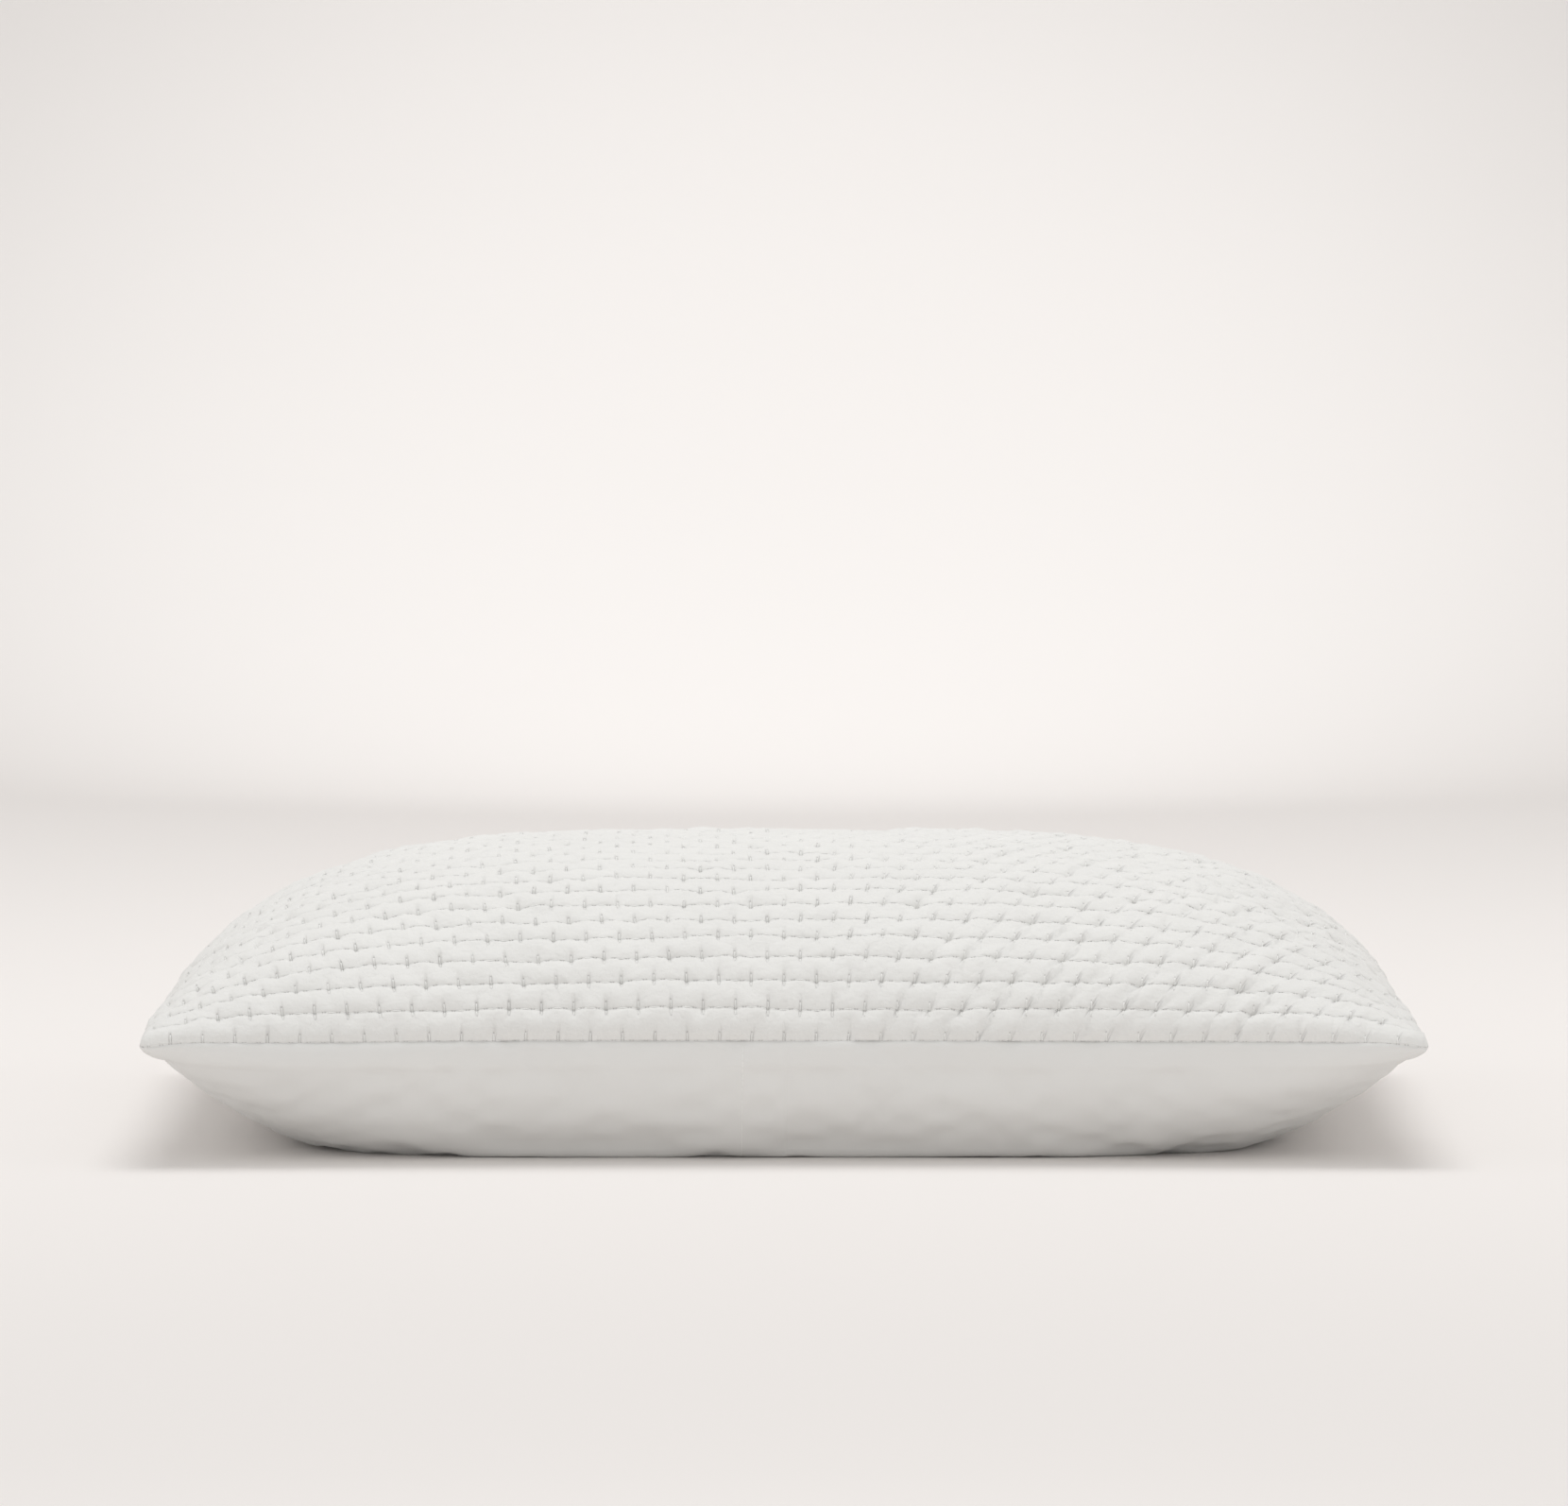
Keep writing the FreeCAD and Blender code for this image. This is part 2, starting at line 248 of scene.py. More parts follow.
def space_evenly(lines_u, lines_v, upper):
    """Slides the points of each line along the panel until they lie evenly, as they do on flat cloth."""
    count = lines_u.shape[1]
    places = np.arange(count)
    fine = np.linspace(0, count - 1, 1200)
    for u, v in zip(lines_u, lines_v):
        path = filled_shape(np.interp(fine, places, u), np.interp(fine, places, v), upper)
        run = np.append(0, np.cumsum(np.linalg.norm(np.diff(path, axis=0), axis=1)))
        at = np.interp(np.linspace(0, run[-1], count), run, fine)
        u[:], v[:] = np.interp(at, places, u), np.interp(at, places, v)


def start_shape():
    """The two panels laid over the filling, from which the cloth settles."""
    panels = []
    for upper in (True, False):
        u, v = flat_grid(*[np.linspace(-1, 1, cells + 1) for cells in SIM_CELLS])
        for _ in range(6):
            space_evenly(u, v, upper)
            space_evenly(u.T, v.T, upper)
        panels.append(filled_shape(u, v, upper))
    top, bottom = panels
    for side in ((0, slice(None)), (-1, slice(None)), (slice(None), 0), (slice(None), -1)):
        bottom[side] = top[side]
    return top, bottom


def sheet_ids():
    """Vertex numbers of the two sheets, which share the vertices of their seam."""
    count_s, count_t = SIM_CELLS[0] + 1, SIM_CELLS[1] + 1
    top = np.arange(count_s * count_t).reshape(count_s, count_t)
    bottom = top.copy()
    inner = np.arange((count_s - 2) * (count_t - 2)).reshape(count_s - 2, count_t - 2)
    bottom[1:-1, 1:-1] = top.size + inner
    return top, bottom


def make_sim_floor():
    corners = [(-1, -1, 0), (1, -1, 0), (1, 1, 0), (-1, 1, 0)]
    floor = add_object("sim_floor", new_mesh("sim_floor", corners, [(0, 1, 2, 3)]))
    floor.modifiers.new("collision", "COLLISION")
    floor.collision.thickness_outer = 0.002
    floor.collision.cloth_friction = 20
    return floor


def set_up_cloth(piece, rest_key):
    """Cotton held out by air-like pressure, and softly by the filling that it lies on."""
    cloth = piece.modifiers.new("cloth", "CLOTH")
    settings = cloth.settings
    settings.quality = 6
    settings.mass = 0.002
    settings.air_damping = 5
    for kind, stiffness, damping in (
        ("tension", 40, 20), ("compression", 10, 20), ("shear", 5, 20), ("bending", 5, 2)
    ):
        setattr(settings, kind + "_stiffness", stiffness)
        setattr(settings, kind + "_damping", damping)
    settings.vertex_group_mass = "filling"
    settings.pin_stiffness = 0.2
    settings.use_pressure = True
    settings.uniform_pressure_force = 0
    settings.use_pressure_volume = True
    settings.target_volume = SIM_VOLUME
    settings.pressure_factor = 5
    settings.rest_shape_key = rest_key
    cloth.collision_settings.distance_min = 0.002
    cloth.collision_settings.use_self_collision = False
    cloth.point_cache.frame_end = SIM_FRAMES


def make_sim_sham(top, bottom, top_ids, bottom_ids):
    """Two flat-cut sheets, sewn round their edge and laid over the filling."""
    s, t = flat_grid(
        np.linspace(-HALF_LENGTH, HALF_LENGTH, SIM_CELLS[0] + 1),
        np.linspace(-HALF_WIDTH, HALF_WIDTH, SIM_CELLS[1] + 1),
    )
    half_gap = 0.0005
    count = int(bottom_ids.max()) + 1
    points = np.zeros((count, 3))
    flat = np.zeros((count, 3))
    points[bottom_ids] = bottom
    points[top_ids] = top
    flat[bottom_ids] = np.stack([s, t, np.full_like(s, -half_gap)], -1)
    flat[top_ids] = np.stack([s, t, np.full_like(s, half_gap)], -1)
    faces = np.concatenate([grid_faces(top_ids, False), grid_faces(bottom_ids, True)])
    piece = add_object("sim_sham", new_mesh("sim_sham", points.tolist(), faces.tolist()))
    piece.shape_key_add(name="start")
    rest_key = piece.shape_key_add(name="flat cut")
    rest_key.data.foreach_set("co", flat.ravel())
    filling = piece.vertex_groups.new(name="filling")
    filling.add(list(range(count)), FILL_SUPPORT, "REPLACE")
    return piece, rest_key


def simulate_sham():
    """Settles the sham over its filling and on to a floor."""
    top, bottom = start_shape()
    top_ids, bottom_ids = sheet_ids()
    piece, rest_key = make_sim_sham(top, bottom, top_ids, bottom_ids)
    floor = make_sim_floor()
    set_up_cloth(piece, rest_key)
    scene = bpy.context.scene
    for step in range(1, SIM_FRAMES + 1):
        scene.frame_set(step)
    settled = piece.evaluated_get(bpy.context.evaluated_depsgraph_get()).data
    result = np.zeros(len(settled.vertices) * 3, np.float32)
    settled.vertices.foreach_get("co", result)
    result = result.reshape(-1, 3).astype(float)
    bpy.data.objects.remove(piece)
    bpy.data.objects.remove(floor)
    scene.frame_set(1)
    return result[top_ids], result[bottom_ids]


def fit_to_frame(top, bottom):
    """Brings the settled shape to the frame's own floor, seam height, crown and corner tips."""
    flattened, relief_room = 0.0008, 0.0015
    low = bottom[..., 2].min() + flattened
    seam = np.median(np.concatenate([top[0, :, 2], top[-1, :, 2], top[:, 0, 2], top[:, -1, 2]]))
    crown = top[..., 2].max()
    scale = (TIP_X / top[-1, -1, 0], TIP_Y / top[-1, -1, 1])
    levels = (0, SEAM_Z, CROWN_Z - relief_room)
    for sheet in (top, bottom):
        sheet[..., 0] *= scale[0]
        sheet[..., 1] *= scale[1]
        sheet[..., 2] = np.interp(sheet[..., 2], (low, seam, crown), levels)
    return extend_grid(top), extend_grid(bottom)


def from_edges(s, t):
    return HALF_LENGTH - np.abs(s), HALF_WIDTH - np.abs(t)


def seam_distance(s, t):
    return np.minimum(*from_edges(s, t))


def round_corners(s, t, radius):
    """Draws flat coordinates in at the corners, so that the outline turns with this radius."""
    from_end, from_side = from_edges(s, t)
    p = np.clip(1 - from_end / radius, 0, 1)
    q = np.clip(1 - from_side / radius, 0, 1)
    drawn_s = radius * p * (1 - np.sqrt(1 - q * q / 2))
    drawn_t = radius * q * (1 - np.sqrt(1 - p * p / 2))
    return s - np.sign(s) * drawn_s, t - np.sign(t) * drawn_t


def panel_points(s, t, outward):
    """A panel of the sham: its tips are rounded nubs, full of folded seam, that droop a little."""
    near, far = (TOP, BOTTOM) if outward > 0 else (BOTTOM, TOP)
    rounded = round_corners(s, t, CORNER_RADIUS)
    points = read_grid(near, *rounded)
    middle = (points + read_grid(far, *rounded)) / 2
    tip = np.hypot(*from_edges(s, t))
    share = np.clip(seam_distance(s, t) / NUB_ROUNDING, 0, 1)
    full = np.sqrt(1 - (1 - share) ** 2)
    at_tip = 1 - smoothstep(NUB_PLACE, 2 * NUB_PLACE, tip)
    points = middle + (points - middle) * (1 - at_tip * (1 - full))[..., None]
    rise = NUB_RISE if outward > 0 else 0.3 * NUB_RISE
    points[..., 2] += outward * rise * full * np.exp(-(((tip - NUB_PLACE) / 0.008) ** 2))
    points[..., 2] -= TIP_DROOP * np.exp(-((tip / 0.016) ** 2))
    return points


# ------------ the quilting's relief


def pattern_places(s, t):
    """Tick and band coordinates: a cross lies at each whole tick, shifted by half on odd rows."""
    return s / TICK_PITCH, (t + HALF_WIDTH) / ROW_PITCH


def cross_offset(ticks, row, lean):
    """Distance along s to the nearest cross of a row, less a lean."""
    shift = np.mod(row, 2) * 0.5
    return (np.mod(ticks - shift + 0.5, 1) - 0.5) * TICK_PITCH - lean


def cross_strength(ticks, row, seed):
    """A random strength from 0 to 1 that belongs to the nearest cross of a row."""
    table = np.random.default_rng(seed).uniform(0, 1, (TICKS + 8, BANDS + 4))
    cross = np.floor(ticks - np.mod(row, 2) * 0.5 + 0.5).astype(int) + TICKS // 2 + 2
    return table[np.clip(cross, 0, TICKS + 7), np.clip(row.astype(int) + 1, 0, BANDS + 3)]


def crease_relief(ticks, below, rise, right, lean_rate):
    """From each cross a crease runs up the band over it and a shorter one down the band below."""
    crease_width = 0.0010 + 0.0004 * right
    pit_depth, pit_length, pit_width = 0.0005, 0.0032, 0.0028
    line_depth, line_width = 0.00035, 0.0009
    height = 0.0
    for row, away, seed, reach, way in (
        (below, rise, 21, 0.0085, 1),
        (below + 1, ROW_PITCH - rise, 22, 0.0050, -1),
    ):
        offset = cross_offset(ticks, row, way * lean_rate * away)
        strength = cross_strength(ticks, row, seed)
        long_reach = reach * (0.55 + 0.9 * strength) * (1 + 0.7 * right)
        depth = (0.0005 + 0.0012 * strength) * (1 - smoothstep(0.3 * long_reach, long_reach, away))
        height = height - depth * np.exp(-((offset / crease_width) ** 2))
        height = height - pit_depth * np.exp(-((offset / pit_length) ** 2) - (away / pit_width) ** 2)
        height = height - line_depth * np.exp(-((away / line_width) ** 2))
    return height


def pleat_relief(s, t, ticks, bands, rise, lean_rate):
    """Along the long seams the first band is drawn up into pleats that run the whole way."""
    depth, width = 0.0007, 0.0011
    seam_row = np.zeros_like(bands)
    first = 1 - smoothstep(0.75, 1.05, np.minimum(bands, BANDS - bands))
    offset = cross_offset(ticks + 0.12 * noise(s, t, 0.02, 1.0, 31), seam_row, lean_rate * rise)
    strength = 0.3 + 0.7 * cross_strength(ticks, seam_row, 32)
    pleats = np.exp(-((offset / width) ** 2)) * strength
    return -depth * first * pleats * smoothstep(0.0, 0.003, rise)


def wrinkle_relief(s, t, right):
    """Diagonal wrinkles, which gather on the right, over a general unevenness."""
    slant, sharpness = 0.75, 1.3
    wrinkle = noise(s - slant * t, t + slant * s, 0.006, 0.028, 41)
    wrinkle = np.sign(wrinkle) * np.abs(wrinkle) ** sharpness
    amount = 0.00030 + 0.00065 * right * (0.5 + 0.5 * noise(s, t, 0.07, 0.05, 42))
    crumple = 0.00026 * noise(s, t, 0.005, 0.005, 44)
    return amount * wrinkle + crumple + 0.0006 * noise(s, t, 0.09, 0.07, 43)


def quilt_relief(s, t):
    """Height of the quilted face over the sheet's own surface."""
    ticks, bands = pattern_places(s, t)
    below = np.clip(np.floor(bands), 0, BANDS - 1)
    share = np.clip(bands - below, 0, 1)
    rise = share * ROW_PITCH
    right = smoothstep(-0.02, 0.12, s)  # the right half is drawn askew
    lean_rate = 0.10 * noise(s, t, 0.03, 0.03, 12)
    lean_rate = lean_rate + right * (0.45 + 0.45 * noise(s, t, 0.05, 0.03, 13))
    puff = 0.0009 * (1 + 0.3 * noise(s, t, 0.010, 0.011, 11))
    height = puff * np.sin(math.pi * share) ** 0.45
    height = height + crease_relief(ticks, below, rise, right, lean_rate)
    height = height + pleat_relief(s, t, ticks, bands, rise, lean_rate)
    height = height + wrinkle_relief(s, t, right)
    lift, pinch_width = 0.0012, 0.0020
    pinch = 1 - np.exp(-((seam_distance(s, t) / pinch_width) ** 2))
    return (height + lift) * pinch


def back_relief(s, t):
    """Height of the plain back over its sheet: the ridge of the seam allowance and slack folds."""
    edge = seam_distance(s, t)
    ridge = 0.00080 + 0.00030 * noise(s, t, 0.05, 0.05, 50)
    allowance = ridge * (1 - smoothstep(0.0112, 0.0142, edge))
    fold = 0.00012 * noise(s - 0.3 * t, t, 0.06, 0.14, 51) + 0.00004 * noise(s, t, 0.012, 0.05, 52)
    beyond_hem, dent_width = 0.003, 0.010
    dent = 0.0006 * np.exp(-(((s - HEM_EDGE - beyond_hem) / dent_width) ** 2))
    lift, pinch_width = 0.0006, 0.0016
    pinch = 1 - np.exp(-((edge / pinch_width) ** 2))
    return (lift + allowance + fold - dent) * pinch


# ------------ threads


def thread_mesh(paths, normals, radius, sides=5):
    """Round threads, one along each row of points, that close to a point at both ends."""
    tangent = np.gradient(paths, axis=1)
    tangent /= np.maximum(np.linalg.norm(tangent, axis=2, keepdims=True), 1e-12)
    side = np.cross(normals, tangent)
    side /= np.maximum(np.linalg.norm(side, axis=2, keepdims=True), 1e-12)
    lift = np.cross(tangent, side)
    count, length = paths.shape[:2]
    turn = 2 * math.pi * np.arange(sides) / sides
    ring = (
        side[:, :, None] * np.cos(turn)[None, None, :, None]
        + lift[:, :, None] * np.sin(turn)[None, None, :, None]
    )
    body = paths[:, :, None] + radius * ring
    tips = np.stack([paths[:, 0] - radius * tangent[:, 0], paths[:, -1] + radius * tangent[:, -1]], 1)
    body_ids = np.arange(count * length * sides).reshape(count, length, sides)
    tip_ids = body_ids.size + np.arange(count * 2).reshape(count, 2)
    after = np.roll(body_ids, -1, axis=2)
    walls = np.stack([body_ids[:, :-1], after[:, :-1], after[:, 1:], body_ids[:, 1:]], -1)
    start = np.stack([np.broadcast_to(tip_ids[:, :1], (count, sides)), after[:, 0], body_ids[:, 0]], -1)
    end = np.stack([np.broadcast_to(tip_ids[:, 1:], (count, sides)), body_ids[:, -1], after[:, -1]], -1)
    points = np.concatenate([body.reshape(-1, 3), tips.reshape(-1, 3)])
    faces = walls.reshape(-1, 4).tolist()
    faces += start.reshape(-1, 3).tolist()
    faces += end.reshape(-1, 3).tolist()
    return points, faces


def make_threads(name, paths, normals, radius, slot="sewing_thread", nodes=()):
    """One piece of many threads; faces of three and four corners lie together in it."""
    points, faces = thread_mesh(paths, np.broadcast_to(normals, paths.shape), radius)
    add_piece(name, new_mesh(name, points.tolist(), faces), slot, nodes)


class Surface:
    """A fine sheet that can be read at any flat coordinates."""

    def __init__(self, s, t, points, outward):
        self.s, self.t, self.points = s, t, points
        self.normals = grid_normals(points, outward)

    def read(self, s, t):
        """Points and normals at arrays of flat coordinates."""
        i = np.clip(np.searchsorted(self.s, s, side="right") - 1, 0, len(self.s) - 2)
        j = np.clip(np.searchsorted(self.t, t, side="right") - 1, 0, len(self.t) - 2)
        fs = np.clip((s - self.s[i]) / (self.s[i + 1] - self.s[i]), 0, 1)[..., None]
        ft = np.clip((t - self.t[j]) / (self.t[j + 1] - self.t[j]), 0, 1)[..., None]
        found = []
        for values in (self.points, self.normals):
            near = values[i, j] * (1 - fs) + values[i + 1, j] * fs
            far = values[i, j + 1] * (1 - fs) + values[i + 1, j + 1] * fs
            found.append(near * (1 - ft) + far * ft)
        normal = found[1] / np.maximum(np.linalg.norm(found[1], axis=-1, keepdims=True), 1e-12)
        return found[0], normal


def stitches_on(surface, centres_s, centres_t, half_s, half_t, height):
    """Paths of straight stitches about these centres, whose ends dive into the cloth."""
    s = centres_s[:, None] + half_s * STITCH
    t = centres_t[:, None] + half_t * STITCH
    points, normals = surface.read(s, t)
    lift = height * (1 - 1.6 * STITCH**4)
    return points + normals * lift[None, :, None], normals


# ------------ materials

WAVE_PERIOD = 0.314  # of Blender's wave texture at a scale of 1


class Graph:
    """A new material, and what its nodes are written with."""

    def __init__(self, name):
        self.name = name
        self.material = bpy.data.materials.new(name)
        self.material.use_nodes = True
        self.tree = self.material.node_tree
        self.shader = self.tree.nodes["Principled BSDF"]

    def put(self, sockets, values):
        """Sets each named socket, or links it where the value is an output."""
        for key, value in values.items():
            if isinstance(value, (int, float, tuple)):
                sockets[key].default_value = value
            else:
                self.tree.links.new(value, sockets[key])

    def add(self, kind, inputs, **settings):
        node = self.tree.nodes.new("ShaderNode" + kind)
        for key, value in settings.items():
            setattr(node, key, value)
        self.put(node.inputs, inputs)
        return node

    def calc(self, operation, *values):
        return self.add("Math", dict(enumerate(values)), operation=operation).outputs[0]

    def product(self, *values):
        total = values[0]
        for value in values[1:]:
            total = self.calc("MULTIPLY", total, value)
        return total

    def fall(self, value, near, far, peak=1.0):
        """From peak at near to 0 at far, smoothly."""
        inputs = dict(enumerate((value, near, far, peak, 0.0)))
        return self.add("MapRange", inputs, interpolation_type="SMOOTHSTEP").outputs["Result"]

    def noise(self, place, scale, detail=2.0):
        inputs = {"Vector": place, "Scale": scale, "Detail": detail}
        return self.add("TexNoise", inputs).outputs["Fac"]

    def cloth_place(self):
        """Flat coordinates on the cloth, in metres."""
        return self.add("UVMap", {}, uv_map="cloth").outputs["UV"]

    def stretched(self, place, scale):
        return self.add("Mapping", {"Vector": place, "Scale": scale}).outputs["Vector"]

    def ramp(self, value, colour, dark, low=0.0, high=1.0):
        """A colour that is darker where the value is low."""
        node = self.add("ValToRGB", {"Fac": value})
        for element, place, share in zip(node.color_ramp.elements, (low, high), (dark, 1)):
            element.position = place
            element.color = (*[c * share for c in colour], 1)
        return node.outputs["Color"]

    def bump(self, height, strength, distance):
        inputs = {"Height": height, "Strength": strength, "Distance": distance}
        return self.add("Bump", inputs).outputs["Normal"]


def cloth_material(name, colour, thread, weave_depth, roughness, mottle=0.03):
    """Woven cloth: two crossed sets of threads, faint slubs, and soft patches of colour."""
    graph = Graph(name)
    place = graph.cloth_place()
    wave = {"Vector": place, "Scale": WAVE_PERIOD / thread, "Distortion": 0.6, "Detail": 1.0}
    weave = [graph.add("TexWave", wave, bands_direction=way).outputs["Fac"] for way in ("X", "Y")]
    crossed = graph.calc("MULTIPLY", *weave)
    slub = graph.noise(graph.stretched(place, (0.18, 1.0, 1.0)), 900, 3)
    tint = graph.ramp(graph.noise(place, 14, 6), colour, 1 - mottle, 0.3, 0.7)
    gaps = {"Factor": 0.10, "A": tint, "B": crossed}
    colour = graph.add("Mix", gaps, data_type="RGBA", blend_type="MULTIPLY").outputs["Result"]
    spread = {"Value": slub, "To Min": roughness - 0.06, "To Max": roughness + 0.06}
    surface = {
        "Normal": graph.bump(graph.calc("ADD", crossed, slub), 0.35, weave_depth),
        "Base Color": colour,
        "Roughness": graph.add("MapRange", spread).outputs["Result"],
        "Sheen Weight": 0.15,
        "Sheen Roughness": 0.5,
        "Specular IOR Level": 0.25,
    }
    graph.put(graph.shader.inputs, surface)
    return graph


def thread_material(name, colour, twist):
    """Twisted thread: fine slanting ridges and a slight gloss."""
    graph = Graph(name)
    place = graph.add("TexCoord", {}).outputs["Object"]
    wave = {"Vector": place, "Scale": WAVE_PERIOD / twist, "Distortion": 1.0}
    ridges = graph.add("TexWave", wave, bands_direction="DIAGONAL").outputs["Fac"]
    surface = {
        "Base Color": graph.ramp(ridges, colour, 0.93),
        "Normal": graph.bump(ridges, 0.4, 0.0001),
        "Roughness": 0.55,
        "Sheen Weight": 0.2,
        "Sheen Roughness": 0.4,
    }
    graph.put(graph.shader.inputs, surface)
    return graph


def fibre_material(name, colour, scale):
    """Loose fibre: stretched noise, matt."""
    graph = Graph(name)
    place = graph.stretched(graph.add("TexCoord", {}).outputs["Object"], (1.0, 0.35, 0.6))
    noise_inputs = {"Vector": place, "Scale": scale, "Detail": 8, "Distortion": 1.5}
    strands = graph.add("TexNoise", noise_inputs).outputs["Fac"]
    surface = {
        "Base Color": graph.ramp(strands, colour, 0.9),
        "Normal": graph.bump(strands, 0.8, 0.002),
        "Roughness": 0.95,
    }
    graph.put(graph.shader.inputs, surface)
    return graph


def needle_holes(graph, offset, away):
    """1 at each needle hole round a cross, 0 beside it."""
    place = graph.add("CombineXYZ", {"X": graph.calc("ABSOLUTE", offset), "Y": away})
    holes = 0.0
    for along, across in ((0.0006, 0.0), (0.0038, 0.0), (0.0053, 0.0), (0.0, 0.0041), (0.0, -0.0039)):
        ends = {0: place.outputs["Vector"], 1: (along, across, 0)}
        gap = graph.add("VectorMath", ends, operation="DISTANCE").outputs["Value"]
        holes = graph.calc("MAXIMUM", holes, graph.fall(gap, 0.00015, 0.00055))
    return holes


def cross_crease(graph, place, s, offset, away):
    """1 along the fine crease that runs up and down from each cross."""
    right = graph.calc("SUBTRACT", 0.5, graph.fall(s, -0.02, 0.12, 0.5))
    askew = graph.calc("SUBTRACT", graph.noise(place, 22.0), 0.5)
    lean = graph.calc("MULTIPLY_ADD", askew, 0.8, right)
    leaning = graph.calc("SUBTRACT", offset, graph.product(lean, away))
    narrow = graph.fall(graph.calc("ABSOLUTE", leaning), 0.0, 0.0011)
    above = graph.fall(away, 0.0010, 0.0095)
    under = graph.fall(away, -0.0010, -0.0065)
    uneven = graph.calc("SUBTRACT", graph.noise(place, 48.0), 0.5)
    strength = graph.calc("MULTIPLY_ADD", uneven, 1.6, 1.0)
    return graph.product(narrow, graph.calc("MINIMUM", above, under), strength)


def add_quilting(graph):
    """Needle holes darkened with painted shade, fine creases at the crosses and the line of each row,
    over a woven material.
    """
    place = graph.cloth_place()
    apart = graph.add("SeparateXYZ", {"Vector": place})
    s, t = apart.outputs["X"], apart.outputs["Y"]
    bands = graph.calc("MULTIPLY_ADD", t, 1 / ROW_PITCH, BANDS / 2)
    row = graph.calc("ROUND", bands)
    away = graph.product(graph.calc("SUBTRACT", bands, row), ROW_PITCH)
    shift = graph.product(graph.calc("MODULO", row, 2.0), -0.5)
    ticks = graph.calc("MULTIPLY_ADD", s, 1 / TICK_PITCH, shift)
    offset = graph.product(graph.calc("SUBTRACT", ticks, graph.calc("ROUND", ticks)), TICK_PITCH)
    holes = needle_holes(graph, offset, away)
    crease = cross_crease(graph, place, s, offset, away)
    line = graph.fall(graph.calc("ABSOLUTE", away), 0.0, 0.0007)
    crumple = graph.calc("SUBTRACT", graph.noise(place, 260.0, 3.0), 0.5)
    height = 0.0
    for shape, depth in ((crease, -0.00060), (line, -0.00030), (holes, -0.00025), (crumple, 0.00080)):
        height = graph.calc("MULTIPLY_ADD", shape, depth, height)
    weave = graph.shader.inputs["Normal"].links[0].from_node
    graph.put(weave.inputs, {"Normal": graph.bump(height, 1.0, 1.0)})
    # Painted shade: the colour is darkened at each needle hole, standing in for the shade inside the
    # hole.
    painted_hole_shade = {
        "Factor": graph.product(holes, 0.28),
        "A": graph.shader.inputs["Base Color"].links[0].from_socket,
        "B": (0.25, 0.245, 0.235, 1),
    }
    colour = graph.add("Mix", painted_hole_shade, data_type="RGBA").outputs["Result"]
    graph.put(graph.shader.inputs, {"Base Color": colour})


QUILTED = cloth_material("quilted_percale", (0.885, 0.879, 0.857), 0.00045, 0.00008, 0.82)
add_quilting(QUILTED)
GRAPHS = (
    QUILTED,
    cloth_material("plain_percale", (0.870, 0.866, 0.848), 0.00035, 0.00006, 0.76, 0.02),
    cloth_material("lining_voile", (0.87, 0.87, 0.86), 0.0007, 0.00020, 0.85),
    cloth_material("ticking_cotton", (0.88, 0.87, 0.84), 0.0006, 0.00015, 0.80),
    cloth_material("label_tape", (0.90, 0.90, 0.89), 0.0008, 0.00010, 0.45, 0.01),
    fibre_material("quilt_batting", (0.90, 0.89, 0.86), 260),
    fibre_material("polyester_fibre", (0.93, 0.93, 0.92), 90),
    thread_material("sewing_thread", (0.94, 0.94, 0.92), 0.0006),
    thread_material("overlock_thread", (0.88, 0.88, 0.86), 0.0008),
    thread_material("piping_cotton", (0.88, 0.87, 0.84), 0.0020),
)
MATERIALS = {graph.name: graph.material for graph in GRAPHS}


# ------------ the shape and its sheets


def fine_steps(pitch, count, shares, start):
    """Flat coordinates that crowd round every line of the pattern, over count pitches."""
    lines = start + pitch * np.arange(count)
    inner = (lines[:, None] + pitch * np.asarray(shares)[None, :]).ravel()
    return np.append(inner, start + pitch * count)


TOP, BOTTOM = fit_to_frame(*simulate_sham())

TOP_S = fine_steps(TICK_PITCH / 2, TICKS * 2, (0, 0.11, 0.32, 0.68, 0.89), -HALF_LENGTH)
TOP_T = fine_steps(ROW_PITCH, BANDS, (0, 0.05, 0.14, 0.30, 0.50, 0.70, 0.86, 0.95), -HALF_WIDTH)


def quilt_surface():
    """The quilted face with its relief, its rows slightly wandering."""
    s, t = flat_grid(TOP_S, TOP_T)
    free = smoothstep(0, 0.03, seam_distance(s, t))
    wander = (0.0012 * noise(s, t, 0.10, 0.06, 61) + 0.0005 * noise(s, t, 0.03, 0.02, 62)) * free
    base = panel_points(s, t + wander, 1)
    points = base + grid_normals(base, 1) * quilt_relief(s, t)[..., None]
    return Surface(TOP_S, TOP_T, points, 1)


def make_quilt_face(surface):
    flat = np.stack(flat_grid(TOP_S, TOP_T), -1)
    ids = np.arange(flat[..., 0].size).reshape(flat.shape[:2])
    faces = grid_faces(ids, False)
    nodes = ["quilt_face_panel"]
    piece = make_piece("quilt_face", surface.points, faces, "quilted_percale", nodes, flat)


def cross_places():
    """Flat coordinates of every cross, those on the long seams included."""
    rows, ticks = np.meshgrid(np.arange(0, BANDS + 1), np.arange(-TICKS // 2, TICKS // 2 + 1))
    s = ((ticks + 0.5 * (rows % 2)) * TICK_PITCH).ravel()
    t = (rows * ROW_PITCH - HALF_WIDTH).ravel()
    kept = np.abs(s) < HALF_LENGTH - 0.010
    return s[kept], t[kept]


def make_quilting_threads(name, parts, nodes=()):
    paths, normals = (np.concatenate(found) for found in zip(*parts))
    make_threads(name, paths, normals, QUILTING_THREAD, nodes=nodes)


